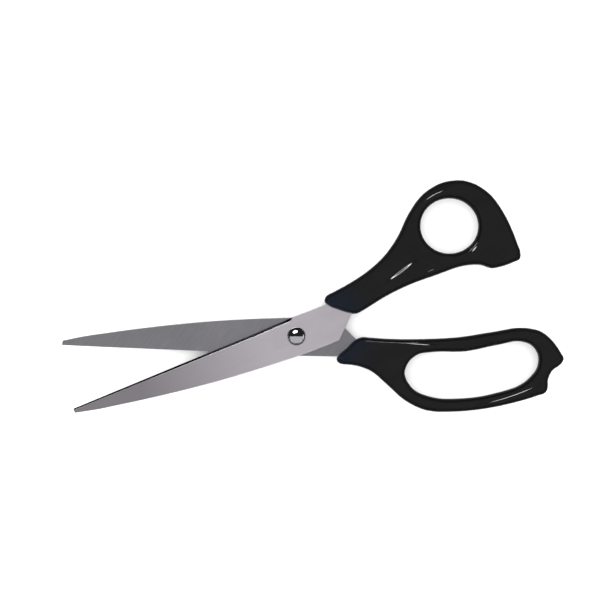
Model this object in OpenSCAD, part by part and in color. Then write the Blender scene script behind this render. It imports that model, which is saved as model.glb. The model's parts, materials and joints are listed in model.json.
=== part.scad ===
// Fabric shears: two steel halves cross on a pivot, and each ends in a moulded bow handle.
// The shears lie flat, with the tips toward -X, the bows toward +X, the thumb bow on the +Y side
// and the pivot axis along +Z. The origin is under the middle of the whole outline.
// Each half is drawn closed, with the pivot at its own origin, and is then turned to its open angle.

/* [Opening] */
// Angle of the thumb half from the length axis
thumb_angle = 17.9; // [4:0.1:40]
// Angle of the finger half from the length axis
finger_angle = 2.1; // [0:0.1:3]

/* [Blades] */
// Length of each blade from the pivot to the tip
blade_length = 117.4; // [110:0.2:124]
// Height of the blunt end of the tip
tip_h = 2.3; // [1.8:0.1:2.8]
// Thickness of the steel at the pivot and in the handles
steel_t = 2.5; // [2.2:0.1:2.8]
// Thickness of the steel at the tip
tip_t = 1.6; // [1.2:0.1:2]
// Width of the cutting bevel where the steel is at its full thickness
bevel_w = 1.2; // [0.8:0.1:1.6]
// Thickness left at the cutting edge itself
edge_land = 0.15; // [0.1:0.05:0.3]
// Depth of the hollow grinding at its deep end, on each inner face
hollow_depth = 0.19; // [0.1:0.01:0.2]
// Gap between the two inner faces
face_gap = 0.1; // [0.06:0.02:0.16]

/* [Handles] */
// Thickness of the moulded handles
handle_t = 12; // [11.6:0.1:14]
// Width of the rounded edges, seen from above
edge_w = 2; // [1.5:0.1:2.4]
// Height of the rounded edges on each face
edge_h = 4.5; // [3:0.1:4.8]
// Half of the thumb hole's longer width
thumb_hole_long = 14.5; // [13.5:0.1:15]
// Half of the thumb hole's shorter width
thumb_hole_short = 13.8; // [13:0.1:14.4]
// Width of the steel tongue at its buried end
tongue_w = 4; // [3:0.2:5]
// Radius of the plastic posts that lock the tongue
post_r = 1.6; // [1:0.1:1.8]

/* [Pivot] */
// Radius of the pivot barrel that the rear blade turns on
barrel_r = 3; // [2.8:0.1:3.2]
// Radial clearance between the barrel and the rear blade
running_gap = 0.03; // [0.02:0.01:0.08]
// Radius of the polished dome
dome_r = 4.3; // [3.8:0.1:4.3]
// Height of the dome above its rim
dome_h = 1.7; // [1.2:0.1:2]
// Height of the dome's straight rim
rim_h = 0.5; // [0.3:0.1:0.7]
// Radius of the washers and of the screw's head
washer_r = 4.7; // [4.5:0.1:5]
// Thickness of the washer under the dome
front_washer_t = 0.5; // [0.4:0.1:0.6]
// Thickness of the flat washer under the rear blade
rear_washer_t = 0.6; // [0.5:0.1:0.8]
// Height of the dished spring washer
spring_h = 0.8; // [0.7:0.1:0.9]
// Radius of the tension screw's shank
screw_r = 1.75; // [1.5:0.05:1.8]
// Width of the screw's slot
slot_w = 1.1; // [0.8:0.1:1.4]

/* [Hidden] */
$fn = 64;

// Colours
steel = [0.66, 0.66, 0.68];
plastic = [0.07, 0.07, 0.08];
chrome = [0.86, 0.86, 0.88];

// Outline of one blade, with its spine on the +Y side and its cutting edge on the -Y side.
// The spine is a smooth curve: each point is a share of the blade's length and a height.
spine_shares = [
    [0.997, tip_h], [0.9, 4.1], [0.82, 5.1], [0.7, 6.5], [0.53, 8.1], [0.36, 9.2], [0.19, 9.6], [0, 9.5]
];
// The ground edge runs straight from the tip to the choil, then a little steeper to the pivot.
choil = [-20, -7.7];
edge_end = [-2, -9.5];
edge_at_pivot = [0, -9.7];
// The tang: the back corner, the slanted heel below it, and the corner on the cutting side.
back_corner = [19.8, 8.4];
heel_end = [29.6, -2.3];
front_corner = [20, -10.7];
// The tongue starts behind the heel, and its far end lies in the middle of the handle's limb.
tongue_top = [33, -4.4];
tongue_bottom = [33, -12.6];
finger_tongue_end = [62, -7.3];
thumb_tongue_end = [62, -12];
post_shares = [0.25, 0.62];
spine_steps = 5;

// Grinding of the faces: where the distal taper starts, and the hollow's radius and ends.
taper_start = -16;
hollow_r = 160;
hollow_start = -104;
hollow_end = -22;
hollow_y = 1;
hollow_lead = 8;
hollow_sides = 720;

// The ground bevel's cutting box: how far it passes the tip and laps the next run, its reach and its depth.
tip_overrun = 5;
run_overlap = 0.3;
bevel_reach = 8;
bevel_depth = 4;

// The distal taper's cutting box.
taper_reach = 1.2;
taper_box_w = 30;
taper_box_h = 5;

// Outline of the thumb handle: along the top from the nose, round the bow and its flat wing,
// and back along the bottom to the nose.
thumb_outline = [
    [20.3, 14.6], [24, 15.4], [32, 16.9], [43.5, 20], [54, 24.8], [63.5, 32], [72, 41], [81.5, 48],
    [93, 50.8], [104.5, 48], [113, 39.5], [117.2, 28.5], [119, 16.5], [119.3, 10.5], [119.2, 4.5],
    [118, 2.4], [115.5, 2.1], [107, 1.9], [103.5, 2.4], [98.5, 5.8], [92, 7.7], [76, 7.8], [60, 7.1],
    [48, 5.2], [37, 2.5], [34.5, 1.9], [31.8, 1.7], [29, 2.8], [24, 6.2], [19.5, 10.3], [18.7, 12.4]
];
// Middle and slant of the round thumb hole.
thumb_hole_at = [89.7, 29.1];
thumb_hole_turn = -20.6;

// Outline of the finger handle: along the top from the nose, down to the pointed end,
// and back round the bottom of the bow.
finger_outline = [
    [20.5, -10.4], [25, -6.5], [29.3, -2.7], [33, -1.5], [36.5, -1.9], [45, -2.8], [63, -3.6],
    [81, -3.3], [99, -1.2], [113.5, 0.2], [122.5, -2.1], [127.5, -6.5], [131.5, -12.5],
    [133.1, -16.2], [131.7, -18.4], [127, -21.8], [124.7, -26.5], [124.4, -30.8], [123.4, -32.5],
    [119.5, -33.9], [108.5, -36.8], [91, -39.7], [76, -40.4], [64, -39.4], [53.5, -34.3],
    [44.5, -25.8], [36, -18.3], [28, -15.4], [24.5, -14.9], [21, -14.2], [19.4, -12.3]
];
// Outline of the long finger hole.
finger_hole = [
    [53.4, -20], [56, -14.4], [60.4, -11.2], [66.5, -10.3], [84, -10.5], [102, -7.6], [111.5, -6.5],
    [117, -8.5], [120.3, -13.5], [119.8, -19.5], [114.3, -26.1], [97.5, -32.1], [80, -34],
    [67.5, -33], [57, -28]
];
outline_steps = 3;
hole_step = 10;

// Sides of the tool that rounds the handles' edges.
edge_sides = 16;

// Heights of the pivot's parts above and below the plane where the blades meet.
inner_z = face_gap / 2;
outer_z = inner_z + steel_t;
neck_r = 3.5;
neck_flats = 6;
neck_gap = 0.03;
dome_z = outer_z + front_washer_t;
barrel_past = 0.35;
barrel_end_z = -(outer_z + barrel_past);
rear_washer_z = -(outer_z + rear_washer_t);
spring_z = rear_washer_z - spring_h;
screw_end_z = 1.8;
thread_gap = 0.04;
thread_end_z = 2.4;
slot_depth = 1.1;
spring_t = 0.5;
spring_inset = 0.3;
spring_hole_gap = 0.15;
washer_chamfer = 0.15;
head_chamfer = 0.4;
contact_gap = 0.02;
cut_over = 1;

// Direction of a smooth curve at one of its points, from the points before and after it.
function curve_direction(before, here, after) =
    let (d0 = norm(here - before), d1 = norm(after - here))
    ((here - before) / d0 * d1 + (after - here) / d1 * d0) / (d0 + d1);

// Point at share t of the curve from a to b, which leaves along leave and arrives along arrive.
function curve_point(a, b, leave, arrive, t) =
    (2 * t ^ 3 - 3 * t ^ 2 + 1) * a + (t ^ 3 - 2 * t ^ 2 + t) * leave
    + (3 * t ^ 2 - 2 * t ^ 3) * b + (t ^ 3 - t ^ 2) * arrive;

// Smooth closed curve through all the points.
function smooth_loop(points, steps) =
    let (n = len(points))
    [for (i = [0 : n - 1])
        let (a = points[(i + n - 1) % n],
             b = points[i],
             c = points[(i + 1) % n],
             d = points[(i + 2) % n],
             chord = norm(c - b),
             leave = curve_direction(a, b, c) * chord,
             arrive = curve_direction(b, c, d) * chord)
        for (k = [0 : steps - 1]) curve_point(b, c, leave, arrive, k / steps)];

// Smooth open curve through all the points, straight at its two ends.
function smooth_path(points, steps) =
    let (last = len(points) - 1)
    concat(
        [for (i = [0 : last - 1])
            let (b = points[i],
                 c = points[i + 1],
                 chord = norm(c - b),
                 leave = i == 0 ? c - b : curve_direction(points[i - 1], b, c) * chord,
                 arrive = i + 1 == last ? c - b : curve_direction(b, c, points[i + 2]) * chord)
            for (k = [0 : steps - 1]) curve_point(b, c, leave, arrive, k / steps)],
        [points[last]]);

function blade_outline(tongue_end) = concat(
    [[-blade_length, 0]],
    smooth_path([for (s = spine_shares) [-s[0] * blade_length, s[1]]], spine_steps),
    [back_corner, heel_end, tongue_top],
    [tongue_end + [0, tongue_w / 2], tongue_end - [0, tongue_w / 2]],
    [tongue_bottom, front_corner, edge_at_pivot, edge_end, choil]);

function turned(point, angle) =
    [point[0] * cos(angle) - point[1] * sin(angle), point[0] * sin(angle) + point[1] * cos(angle)];

function mirrored(point) = [point[0], -point[1]];

// The whole outline at the open angles gives the middle of the shears, to a tenth of a millimetre.
finger_half_points = [
    for (p = concat(smooth_loop(finger_outline, outline_steps), blade_outline(finger_tongue_end)))
        turned(p, finger_angle)];
thumb_half_points = [
    for (p = concat(smooth_loop(thumb_outline, outline_steps),
                    [for (q = blade_outline(thumb_tongue_end)) mirrored(q)]))
        turned(p, thumb_angle)];
all_x = [for (p = concat(finger_half_points, thumb_half_points)) p[0]];
all_y = [for (p = concat(finger_half_points, thumb_half_points)) p[1]];
pivot_at = [
    -round(5 * (min(all_x) + max(all_x))) / 10,
    -round(5 * (min(all_y) + max(all_y))) / 10,
    handle_t / 2
];

module thumb_half() {
    translate(pivot_at) rotate(thumb_angle) children();
}

module finger_half() {
    translate(pivot_at) rotate(finger_angle) children();
}

// Flat steel with the outline of one half, from its inner face at z = 0 down to its outer face.
module steel_blank(tongue_end) {
    translate([0, 0, -steel_t]) linear_extrude(steel_t) polygon(blade_outline(tongue_end));
}

function post_at(tongue_end, share) =
    let (start = (tongue_top + tongue_bottom) / 2) start + (tongue_end - start) * share;

// Cuts the outer face down toward the tip.
module taper_cut() {
    run = blade_length + taper_start;
    angle = atan((steel_t - tip_t) / run);
    translate([taper_start, 0, -steel_t])
        rotate([0, angle, 0])
            translate([-taper_reach * run, -taper_box_w / 2, -taper_box_h])
                cube([taper_reach * run, taper_box_w, taper_box_h]);
}

// Cuts the bevel along one straight run of the cutting edge.
module bevel_cut(from, to, before, after) {
    run = to - from;
    slope = atan((steel_t - edge_land) / bevel_w);
    translate([from[0], from[1], -edge_land])
        rotate(atan2(run[1], run[0]))
            rotate([-slope, 0, 0])
                translate([-before, -bevel_depth, -bevel_depth])
                    cube([before + norm(run) + after, bevel_depth + bevel_reach, bevel_depth]);
}

// Shallow hollow in the inner face, which dies out before the tip.
module hollow_cut() {
    angle = atan(hollow_depth / (hollow_end - hollow_start));
    translate([hollow_start, hollow_y, hollow_r])
        rotate([0, 90 + angle, 0])
            translate([0, 0, -hollow_lead])
                cylinder(h = hollow_end - hollow_start + hollow_lead, r = hollow_r, $fn = hollow_sides);
}

// One ground blade with its tang and tongue, spine on the +Y side, outer face down.
module blade(tongue_end) {
    difference() {
        steel_blank(tongue_end);
        taper_cut();
        bevel_cut([-blade_length, 0], choil, tip_overrun, run_overlap);
        bevel_cut(choil, edge_end, run_overlap, 0);
        hollow_cut();
        for (share = post_shares)
            translate(concat(post_at(tongue_end, share), -steel_t - cut_over))
                cylinder(h = steel_t + 2 * cut_over, r = post_r);
    }
}

// Round bar with two flats, centred on the axis, standing on z = 0.
module double_flat(r, flats, h) {
    intersection() {
        cylinder(h = h, r = r);
        translate([-r - cut_over, -flats / 2, -cut_over])
            cube([2 * (r + cut_over), flats, h + 2 * cut_over]);
    }
}

// Half-elliptical tool that rounds the edges of a handle.
module edge_tool() {
    rotate_extrude($fn = edge_sides)
        polygon([for (a = [-90 : 360 / edge_sides : 90]) [edge_w * cos(a), edge_h * sin(a)]]);
}

// Plate of the handles' thickness with rounded edges all round the outline given as a child.
module rounded_plate() {
    minkowski() {
        translate([0, 0, edge_h - handle_t / 2])
            linear_extrude(handle_t - 2 * edge_h)
                offset(delta = -edge_w) children();
        edge_tool();
    }
}

// Plastic posts that fill the tongue's holes.
module posts(tongue_end) {
    for (share = post_shares)
        translate(concat(post_at(tongue_end, share), -outer_z - cut_over))
            cylinder(h = outer_z + 2 * cut_over, r = post_r);
}

// Rear half's steel, and the same shape turned over for the front half.
module rear_side() {
    translate([0, 0, -inner_z]) children();
}

module front_side() {
    rotate([180, 0, 0]) translate([0, 0, -inner_z]) children();
}

module front_blade() {
    color(steel)
        thumb_half()
            difference() {
                front_side() blade(thumb_tongue_end);
                translate([0, 0, -cut_over])
                    double_flat(neck_r + neck_gap, neck_flats + 2 * neck_gap, outer_z + 2 * cut_over);
            }
}

module rear_blade() {
    color(steel)
        finger_half()
            difference() {
                rear_side() blade(finger_tongue_end);
                translate([0, 0, -outer_z - cut_over])
                    cylinder(h = outer_z + 2 * cut_over, r = barrel_r + running_gap);
            }
}

module thumb_handle() {
    color(plastic)
        thumb_half()
            difference() {
                rounded_plate()
                    difference() {
                        polygon(smooth_loop(thumb_outline, outline_steps));
                        translate(thumb_hole_at)
                            rotate(thumb_hole_turn)
                                polygon([for (a = [0 : hole_step : 359])
                                    [thumb_hole_long * cos(a), thumb_hole_short * sin(a)]]);
                    }
                difference() {
                    front_side() steel_blank(thumb_tongue_end);
                    rotate([180, 0, 0]) posts(thumb_tongue_end);
                }
            }
}

module finger_handle() {
    color(plastic)
        finger_half()
            difference() {
                rounded_plate()
                    difference() {
                        polygon(smooth_loop(finger_outline, outline_steps));
                        polygon(smooth_loop(finger_hole, outline_steps));
                    }
                difference() {
                    rear_side() steel_blank(finger_tongue_end);
                    posts(finger_tongue_end);
                }
            }
}

// Domed nut: its flats sit in the front blade, and the rear blade turns on its barrel.
module pivot_nut() {
    ball_r = (dome_r ^ 2 + dome_h ^ 2) / (2 * dome_h);
    color(chrome)
        thumb_half()
            difference() {
                union() {
                    translate([0, 0, dome_z]) cylinder(h = rim_h, r = dome_r);
                    intersection() {
                        translate([0, 0, dome_z + rim_h + dome_h - ball_r]) sphere(ball_r);
                        translate([0, 0, dome_z + rim_h / 2]) cylinder(h = 2 * dome_h, r = dome_r);
                    }
                    translate([0, 0, inner_z]) double_flat(neck_r, neck_flats, dome_z - inner_z);
                    translate([0, 0, barrel_end_z]) cylinder(h = dome_z - barrel_end_z, r = barrel_r);
                }
                translate([0, 0, barrel_end_z - cut_over])
                    cylinder(h = thread_end_z - barrel_end_z + cut_over, r = screw_r + thread_gap);
            }
}

// Flat ring from z = 0 up, with a small chamfer round its top.
module washer(hole_r, t) {
    rotate_extrude()
        polygon([
            [hole_r, 0], [washer_r, 0], [washer_r, t - washer_chamfer],
            [washer_r - washer_chamfer, t], [hole_r, t]
        ]);
}

module front_washer() {
    color(chrome) thumb_half() translate([0, 0, outer_z]) washer(neck_r + 2 * neck_gap, front_washer_t);
}

module rear_washer() {
    color(steel)
        finger_half()
            translate([0, 0, -outer_z])
                rotate([180, 0, 0])
                    washer(barrel_r + 2 * running_gap, rear_washer_t);
}

// Dished washer between the flat washer and the screw's head.
module spring_washer() {
    inner_r = screw_r + spring_hole_gap;
    outer_r = washer_r - spring_inset;
    color(steel)
        thumb_half()
            translate([0, 0, spring_z])
                rotate_extrude()
                    polygon([
                        [inner_r, 0], [outer_r, spring_h - spring_t - contact_gap],
                        [outer_r, spring_h - contact_gap], [inner_r, spring_t]
                    ]);
}

// Slotted screw that sets the blades' tension from behind.
module pivot_screw() {
    head_t = spring_z + handle_t / 2;
    color(steel)
        thumb_half()
            difference() {
                translate([0, 0, -handle_t / 2])
                    rotate_extrude()
                        polygon([
                            [0, 0], [washer_r - head_chamfer, 0], [washer_r, head_chamfer], [washer_r, head_t],
                            [screw_r, head_t], [screw_r, handle_t / 2 + screw_end_z],
                            [0, handle_t / 2 + screw_end_z]
                        ]);
                translate([-washer_r - cut_over, -slot_w / 2, -handle_t / 2 - cut_over])
                    cube([2 * (washer_r + cut_over), slot_w, slot_depth + cut_over]);
            }
}

front_blade();
rear_blade();
thumb_handle();
finger_handle();
pivot_nut();
front_washer();
rear_washer();
spring_washer();
pivot_screw();
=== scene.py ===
"""Fabric shears: the looks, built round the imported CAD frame.

Shapes are worked out in millimetres, in the closed frame of each half: x from the tips to the bows,
the blade's spine on the +y side, and z measured from the plane where the two blades meet.
"""

import json
import math

import bmesh
import bpy
import numpy as np
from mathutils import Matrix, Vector
from mathutils.geometry import delaunay_2d_cdt


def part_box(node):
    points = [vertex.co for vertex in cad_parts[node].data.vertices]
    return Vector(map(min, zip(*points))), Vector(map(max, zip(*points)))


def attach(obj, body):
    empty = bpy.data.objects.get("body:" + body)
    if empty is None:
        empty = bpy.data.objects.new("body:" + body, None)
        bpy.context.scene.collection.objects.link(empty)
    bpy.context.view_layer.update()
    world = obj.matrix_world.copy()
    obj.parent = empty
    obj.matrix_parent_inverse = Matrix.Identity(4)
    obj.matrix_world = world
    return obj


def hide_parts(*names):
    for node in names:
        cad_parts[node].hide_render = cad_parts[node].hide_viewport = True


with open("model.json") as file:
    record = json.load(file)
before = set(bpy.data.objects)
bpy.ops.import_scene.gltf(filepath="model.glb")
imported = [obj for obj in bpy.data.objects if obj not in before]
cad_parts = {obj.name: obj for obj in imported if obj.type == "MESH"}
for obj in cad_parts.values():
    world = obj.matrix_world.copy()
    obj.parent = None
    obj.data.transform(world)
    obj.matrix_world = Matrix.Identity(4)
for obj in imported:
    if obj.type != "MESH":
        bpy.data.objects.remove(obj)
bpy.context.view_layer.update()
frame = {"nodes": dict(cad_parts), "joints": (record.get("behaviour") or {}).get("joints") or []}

MM = 0.001
joints = {joint["name"]: joint for joint in frame["joints"]}
PIVOT = np.array(joints["blade_pivot"]["pos_m"]) / MM

# Lights. Angles are in degrees, and distances are in metres.
SKY_ENERGY = 7.5
SKY_ANGLE = 150
SURROUND = (0.02, 0.02, 0.021, 1.0)
CARD_DISTANCE = 3.0
CARD_GAP = 0.1
CARD_REACH = 9.0
HORIZON_EDGE = 89.0

# Camera: far above the shears, looking straight down at the middle of the view.
CAMERA_ABOVE = Vector((-6.35, -1.75, 6.0)) * MM
CAMERA_DISTANCE = 1.667
LENS = 200
SENSOR = 36

# Floor, in metres
FLOOR_HALF = 30.0
FLOOR_Z = -0.0003
FLOOR_COLOUR = (0.86, 0.86, 0.86, 1.0)

# Blades: thicknesses and the bevel, whose run is its width for each millimetre of its height.
INNER_Z = 0.05
EDGE_LAND = 0.15
LAND_SHARE = 0.98
BEVEL_RUN_TIP = 0.50
BEVEL_RUN_PIVOT = 0.60
BEVEL_RUN_FROM = -100.0
BEVEL_RUN_TO = -5.0
BEVEL_END = -0.5
BEVEL_RUNOUT = 1.5
BEVEL_WIDEST = 0.6
NO_BEVEL = 0.02
FOOT_CLEAR = 0.02

# Blades: rounded edges, never wider than a share of the blade's own width.
SHOULDER_ROUND = 0.12
SHOULDER_GAIN = 0.2
TANG_ROUND = 0.08
SPINE_ROUND = 0.24
ROUND_SHARE = 0.2
ARC_POINTS = 6
BACK_ARC_POINTS = 4

# Blades: the slightly crowned outer face and the hollow inner face, in a mesh of even stations.
FACE_CROWN = 0.05
FACE_POINTS = 11
HALF_FACE_LEAST = 0.5
STATION_STEP = 1.2
CORNER_SLOPE = 0.015
CORNER_GAP = 0.1
END_INSET = 0.02
HOLLOW_DEPTH = 0.12
HOLLOW_SHARE = 0.4
HOLLOW_START = -112.0
HOLLOW_RISE = 60.0
HOLLOW_END = -34.0
HOLLOW_FALL = 16.0
BLADE_SHARP = 24.0
OUTER_SLOT = 0
INNER_SLOT = 1
BEVEL_SLOT = 2
BEVEL_STRIPS = 3

# Holes that the pivot passes through
FRONT_HOLE = 3.53
REAR_HOLE = 3.03
FRONT_WASHER_HOLE = 3.56
REAR_WASHER_HOLE = 3.06

# Handles: the rim above and below a straight wall. SEAM_SHARE is a share of the wall's height.
SECTION_Z = 1.0
RIM_HEIGHT = 4.3
RIM_WIDTH = 1.7
RIM_LEAN = 0.22
RIM_LOOPS = 9
CREST_STEP = 0.1
CREST_NEAR = 0.012
RIM_KEEP = 0.985
RIM_SLACK = 0.004
UNDER_HEIGHT = 4.5
UNDER_WIDTH = 2.0
WALL_HALF = 1.5
SEAM_SHARE = 0.12
SEAM_PROUD = 0.06
HANDLE_SHARP = 60.0
MERGE = 1e-7

# Handles: the gently swelling top, and the mesh that carries it.
SWELL_REACH = 4.0
RELAX_FROM = 0.5
RELAX_ROUNDS = 40
RELAX_SHARE = 0.5
SAME_POINT = 1e-3
STRAIGHT_TURN = 2e-3
LOOP_STEP = 0.7
GRID_STEP = 1.3
GRID_MARGIN = 0.45 * GRID_STEP

# Dishes: steps of the close-set points, and their reach as shares of the half length and half width.
DISH_STEP = 0.3
DISH_ROW = 0.25
DISH_MARGIN = 0.12
DISH_FADE = 2.5
DISH_LENGTHS = 1.3
DISH_WIDTHS = 2.25
CLEAR_LENGTHS = 1.35
CLEAR_WIDTHS = 2.4


# ---- small helpers

def mesh_points(mesh):
    """A mesh's vertices in millimetres."""
    points = np.zeros(len(mesh.vertices) * 3)
    mesh.vertices.foreach_get("co", points)
    return points.reshape(-1, 3) / MM


def node_points(node):
    """A CAD node's vertices in millimetres, in the row frame."""
    return mesh_points(frame["nodes"][node].data)


def node_triangles(node):
    """A CAD node's triangles as rows of three vertex numbers."""
    mesh = frame["nodes"][node].data
    mesh.calc_loop_triangles()
    corners = np.zeros(len(mesh.loop_triangles) * 3, dtype=np.int64)
    mesh.loop_triangles.foreach_get("vertices", corners)
    return corners.reshape(-1, 3)


def new_object(name, vertices, faces, materials, face_materials=None, sharp=30.0):
    """A smooth-shaded mesh object from points in millimetres in the row frame."""
    mesh = bpy.data.meshes.new(name)
    mesh.from_pydata([tuple(v) for v in np.asarray(vertices) * MM], [], faces)
    for material in materials:
        mesh.materials.append(material)
    if face_materials is not None:
        mesh.polygons.foreach_set("material_index", face_materials)
    mesh.validate()
    piece = bpy.data.objects.new(name, mesh)
    bpy.context.scene.collection.objects.link(piece)
    tidy_normals(piece, sharp)
    return piece


def inside_box(points, node):
    """Keeps points in millimetres inside a CAD node's own box."""
    low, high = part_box(node)
    return np.clip(points, np.array(low) / MM, np.array(high) / MM)


def tidy_normals(piece, sharp, merge=0.0):
    """Faces out, smooth shading, and sharp edges where the surface turns by more than an angle."""
    work = bmesh.new()
    work.from_mesh(piece.data)
    if merge > 0.0:
        bmesh.ops.remove_doubles(work, verts=work.verts, dist=merge)
    bmesh.ops.recalc_face_normals(work, faces=work.faces)
    if work.calc_volume(signed=True) < 0.0:
        bmesh.ops.reverse_faces(work, faces=work.faces)
    work.to_mesh(piece.data)
    work.free()
    piece.data.shade_smooth()
    piece.data.set_sharp_from_angle(angle=math.radians(sharp))


def apply_cut(piece, cutter):
    """Takes the cutter's solid out of the piece and removes the cutter."""
    cut = piece.modifiers.new("cut", "BOOLEAN")
    cut.operation = "DIFFERENCE"
    cut.solver = "EXACT"
    cut.object = cutter
    bpy.context.view_layer.update()
    graph = bpy.context.evaluated_depsgraph_get()
    result = bpy.data.meshes.new_from_object(piece.evaluated_get(graph))
    piece.modifiers.clear()
    old = piece.data
    piece.data = result
    result.name = piece.name
    bpy.data.meshes.remove(old)
    bpy.data.objects.remove(cutter)


def smoothstep(t):
    """0 up to t = 0 and 1 from t = 1 on, with a smooth change between."""
    t = np.clip(t, 0.0, 1.0)
    return t * t * (3 - 2 * t)


# ---- the two halves

class Half:
    """One half's closed frame, found from its CAD blade: the edge's end at the tip lies on the -x axis."""

    def __init__(self, blade, faces_front):
        self.blade = blade
        self.side = -1.0 if faces_front else 1.0
        flat = node_points(blade)[:, :2] - PIVOT[:2]
        ahead = flat[flat[:, 0] < 0]
        tip = ahead[np.argmax(np.hypot(ahead[:, 0], ahead[:, 1]))]
        self.angle = math.atan2(tip[1], tip[0]) - math.pi
        self.cos = math.cos(self.angle)
        self.sin = math.sin(self.angle)

    def to_row(self, points):
        """Points of the closed frame, in the row frame."""
        p = np.asarray(points, float)
        x, y, z = p[:, 0], p[:, 1] * self.side, p[:, 2] * self.side
        turned = np.column_stack((x * self.cos - y * self.sin, x * self.sin + y * self.cos, z))
        return turned + PIVOT

    def to_closed(self, points):
        """Points of the row frame, in the closed frame."""
        p = np.asarray(points, float) - PIVOT
        x = p[:, 0] * self.cos + p[:, 1] * self.sin
        y = p[:, 1] * self.cos - p[:, 0] * self.sin
        return np.column_stack((x, y * self.side, p[:, 2] * self.side))


# ---- node materials

class Shader:
    """A material's node tree round one Principled shader, with short calls for the usual nodes."""

    def __init__(self, name):
        self.material = bpy.data.materials.new(name)
        self.material.use_nodes = True
        self.nodes = self.material.node_tree.nodes
        self.links = self.material.node_tree.links
        self.principled = self.nodes["Principled BSDF"]

    def add(self, kind, **settings):
        made = self.nodes.new(kind)
        for key, value in settings.items():
            setattr(made, key, value)
        return made

    def set(self, **values):
        """Fixed values on the Principled shader's own sockets."""
        for key, value in values.items():
            self.principled.inputs[key.replace("_", " ")].default_value = value

    def link(self, source, target):
        self.links.new(source, target)

    def place(self, turn=0.0, scale=(1.0, 1.0, 1.0)):
        """The object's own coordinates in millimetres, turned about z, then stretched."""
        coordinates = self.add("ShaderNodeTexCoord")
        turned = self.add("ShaderNodeMapping", vector_type="TEXTURE")
        turned.inputs["Rotation"].default_value = (0.0, 0.0, turn)
        turned.inputs["Scale"].default_value = (MM, MM, MM)
        stretched = self.add("ShaderNodeMapping")
        stretched.inputs["Scale"].default_value = scale
        self.link(coordinates.outputs["Object"], turned.inputs["Vector"])
        self.link(turned.outputs["Vector"], stretched.inputs["Vector"])
        return stretched.outputs["Vector"]

    def noise(self, vector, scale, detail=3.0, rough=0.55):
        made = self.add("ShaderNodeTexNoise")
        made.inputs["Scale"].default_value = scale
        made.inputs["Detail"].default_value = detail
        made.inputs["Roughness"].default_value = rough
        self.link(vector, made.inputs["Vector"])
        return made.outputs["Fac"]

    def remap(self, value, low, high, to_low, to_high):
        made = self.add("ShaderNodeMapRange")
        for key, number in (("From Min", low), ("From Max", high), ("To Min", to_low), ("To Max", to_high)):
            made.inputs[key].default_value = number
        self.link(value, made.inputs["Value"])
        return made.outputs["Result"]

    def ramp(self, value, stops):
        """A colour ramp with (position, colour) stops."""
        made = self.add("ShaderNodeValToRGB")
        elements = made.color_ramp.elements
        while len(elements) < len(stops):
            elements.new(0.5)
        for element, (position, colour) in zip(elements, stops):
            element.position = position
            element.color = (*colour, 1.0)
        self.link(value, made.inputs["Fac"])
        return made.outputs["Color"]

    def mix(self, share, first, second, blend="MIX"):
        """A colour mix; share is a socket or a number, first and second are sockets or colours."""
        made = self.add("ShaderNodeMix", data_type="RGBA", blend_type=blend)
        for key, value in ((0, share), (6, first), (7, second)):
            if isinstance(value, bpy.types.NodeSocket):
                self.link(value, made.inputs[key])
            elif key == 0:
                made.inputs[key].default_value = value
            else:
                made.inputs[key].default_value = (*value, 1.0)
        return made.outputs[2]

    def sum(self, first, second, weight=1.0):
        """first + second * weight, as numbers."""
        made = self.add("ShaderNodeMath", operation="MULTIPLY_ADD")
        made.inputs[1].default_value = weight
        self.link(second, made.inputs[0])
        self.link(first, made.inputs[2])
        return made.outputs["Value"]

    def bump(self, height, distance_mm, strength=1.0):
        made = self.add("ShaderNodeBump")
        made.inputs["Strength"].default_value = strength
        made.inputs["Distance"].default_value = distance_mm * MM
        self.link(height, made.inputs["Height"])
        self.link(made.outputs["Normal"], self.principled.inputs["Normal"])

    def out(self, socket, value):
        self.link(value, self.principled.inputs[socket])


# Colours. The steel is painted darker up to TIP_X and lighter from FULL_X on, in millimetres from the
# pivot: painted shade for the reflected light that falls off toward the tip.
STEEL_PAINTED_LIGHT = (0.85, 0.795, 0.855)
STEEL_PAINTED_SHADE = (0.415, 0.388, 0.418)
INNER_PAINTED_LIGHT = (0.415, 0.405, 0.435)
INNER_PAINTED_SHADE = (0.405, 0.395, 0.42)
CHROME = (0.66, 0.63, 0.67)
TURNED = (0.62, 0.62, 0.63)
# The bevel's colour is painted near black: painted shade for the dark surroundings that its steep face
# reflects.
BEVEL_PAINTED_SHADE = (0.055, 0.055, 0.06)
TIP_X = -88.0
FULL_X = -20.0
STEEL_CLOUD = (0.93, 0.935, 0.93)
STEEL_GRAIN = (0.6, 0.6, 0.61)
PLASTIC_DARK = (0.0012, 0.0012, 0.0013)
PLASTIC_LIGHT = (0.0020, 0.0020, 0.0019)
# A painted bluish reflection on the plastic near the steel, faded out by distance from the pivot.
PLASTIC_PAINTED_SHEEN = (0.0003, 0.0023, 0.0068)
NEAR_STEEL_M = 0.022
CLEAR_OF_STEEL_M = 0.042


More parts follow.
